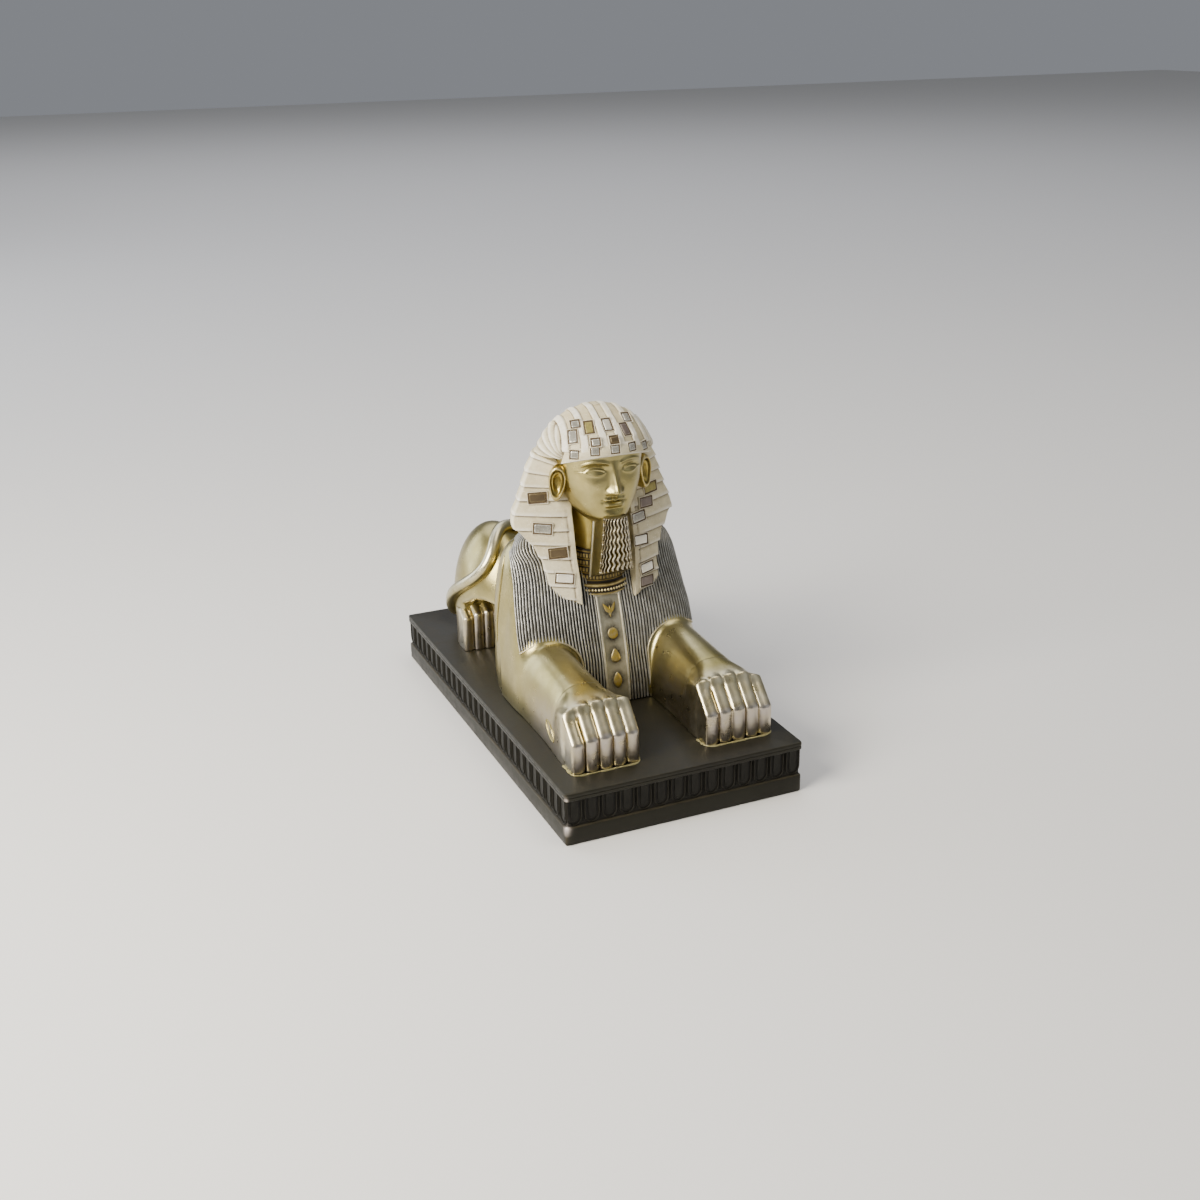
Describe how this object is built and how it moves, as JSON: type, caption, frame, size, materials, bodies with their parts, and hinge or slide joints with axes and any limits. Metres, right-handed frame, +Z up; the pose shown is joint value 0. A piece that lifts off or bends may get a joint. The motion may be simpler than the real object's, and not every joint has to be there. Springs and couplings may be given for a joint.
{
  "type": "sphinx statue",
  "caption": "Desk-size recumbent sphinx in champagne gold with an ivory striped headdress set with glass tiles, on a low dark plinth with a leaf frieze.",
  "frame": {"origin": "middle of the plinth's underside", "axes": "+Z up, -Y the way the sphinx faces, +X to the right of someone who faces its face"},
  "size_m": [0.14, 0.27, 0.1997],
  "materials": {
    "figure_gold": "metallic champagne-gold paint over cast resin, satin, with ivory headdress and silver and black cape",
    "plinth_patina": "dark pewter-green paint with a rubbed edge",
    "mirror_glass": "silvered glass slips",
    "amber_glass": "amber glass slips backed with foil"
  },
  "bodies": {
    "root": {"sphinx_figure": "figure_gold", "plinth": "plinth_patina", "tile_01": "amber_glass", "tile_02": "mirror_glass", "tile_03": "amber_glass", "tile_04": "mirror_glass", "tile_05": "amber_glass", "tile_06": "mirror_glass", "tile_07": "mirror_glass", "tile_08": "amber_glass", "tile_09": "mirror_glass", "tile_10": "mirror_glass", "tile_11": "mirror_glass", "tile_12": "mirror_glass", "tile_13": "amber_glass", "tile_14": "mirror_glass", "tile_15": "mirror_glass", "tile_16": "amber_glass", "tile_17": "mirror_glass", "tile_18": "amber_glass", "tile_19": "mirror_glass", "tile_20": "mirror_glass", "tile_21": "mirror_glass", "tile_22": "mirror_glass", "tile_23": "mirror_glass"}
  },
  "joints": []
}
